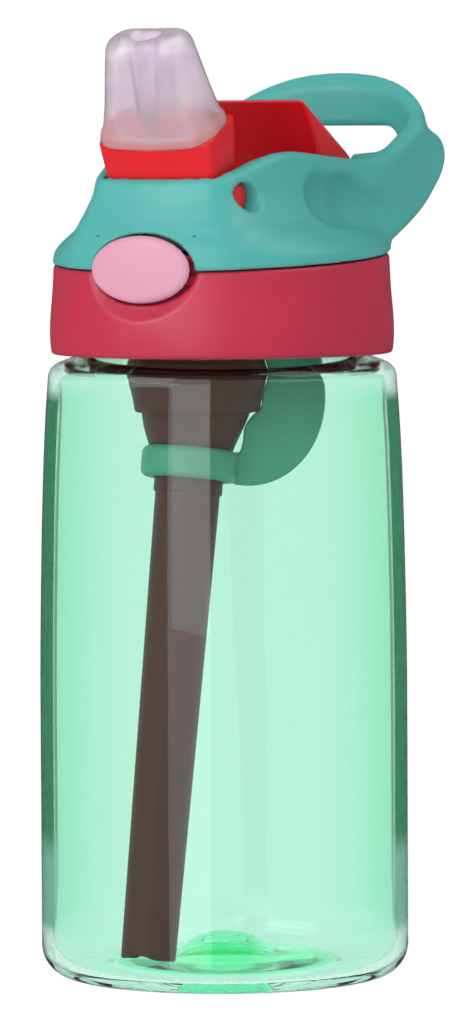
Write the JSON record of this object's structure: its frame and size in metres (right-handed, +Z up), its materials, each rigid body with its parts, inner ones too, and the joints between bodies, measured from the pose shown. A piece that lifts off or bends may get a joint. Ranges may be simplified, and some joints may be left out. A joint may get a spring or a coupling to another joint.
{
  "type": "kids water bottle",
  "caption": "Clear bottle with a screw lid, carry loop, straw and a push-button spout that folds into the lid.",
  "frame": {"origin": "on the body's axis, at the plane it stands on", "axes": "+Z up along the body; the button faces -Y and the carry loop is at +Y; +X is to the right seen from the front"},
  "size_m": [0.0732, 0.0881, 0.1893],
  "materials": {
    "body_clear": "clear glossy green",
    "collar_crimson": "satin moulded",
    "cover_teal": "satin moulded",
    "insert_red": "semi-gloss moulded",
    "silicone_clear": "translucent, soft satin",
    "silicone_teal": "soft satin",
    "silicone_white": "soft satin",
    "straw_red": "satin extruded",
    "button_pink": "fine frosted",
    "slide_dark": "satin moulded",
    "spring_steel": "drawn wire"
  },
  "bodies": {
    "bottle": {"bottle_body": "body_clear"},
    "lid_rise": {"neck_seal": "silicone_white"},
    "lid": {"collar": "collar_crimson", "lid_shell": "cover_teal", "rear_shield": "insert_red", "inner_lid": "insert_red", "valve_seat": "silicone_white", "straw_adapter": "straw_red", "vent_strap": "silicone_teal", "straw": "straw_red", "carrier_spring": "spring_steel", "button_spring": "spring_steel"},
    "spout": {"spout_carrier": "insert_red", "mouthpiece": "silicone_clear"},
    "button": {"button": "button_pink", "latch_slide": "slide_dark"}
  },
  "joints": [
    {"name": "lid_lift", "type": "slide", "parent": "bottle", "child": "lid_rise", "axis": [0, 0, 1], "range_m": [0, 0.006]},
    {"name": "lid_turn", "type": "hinge", "parent": "lid_rise", "child": "lid", "pos_m": [0, 0, 0.13], "axis": [0, 0, 1], "range_deg": [0, 540]},
    {"name": "spout_fold", "type": "hinge", "parent": "lid", "child": "spout", "pos_m": [0, -0.0206, 0.1555], "axis": [-1, 0, 0], "range_deg": [0, 105], "stiffness_Nm_per_rad": 0.02, "springref_deg": -28.65, "deforming": ["carrier_spring"]},
    {"name": "button_press", "type": "slide", "parent": "lid", "child": "button", "axis": [0, 1, 0], "range_m": [0, 0.0015], "stiffness_N_per_m": 900, "springref_m": -0.002, "deforming": ["button_spring"]}
  ],
  "couplings": [
    {"joint": "lid_lift", "follows": "lid_turn", "m_per_rad": 0.00063662}
  ]
}
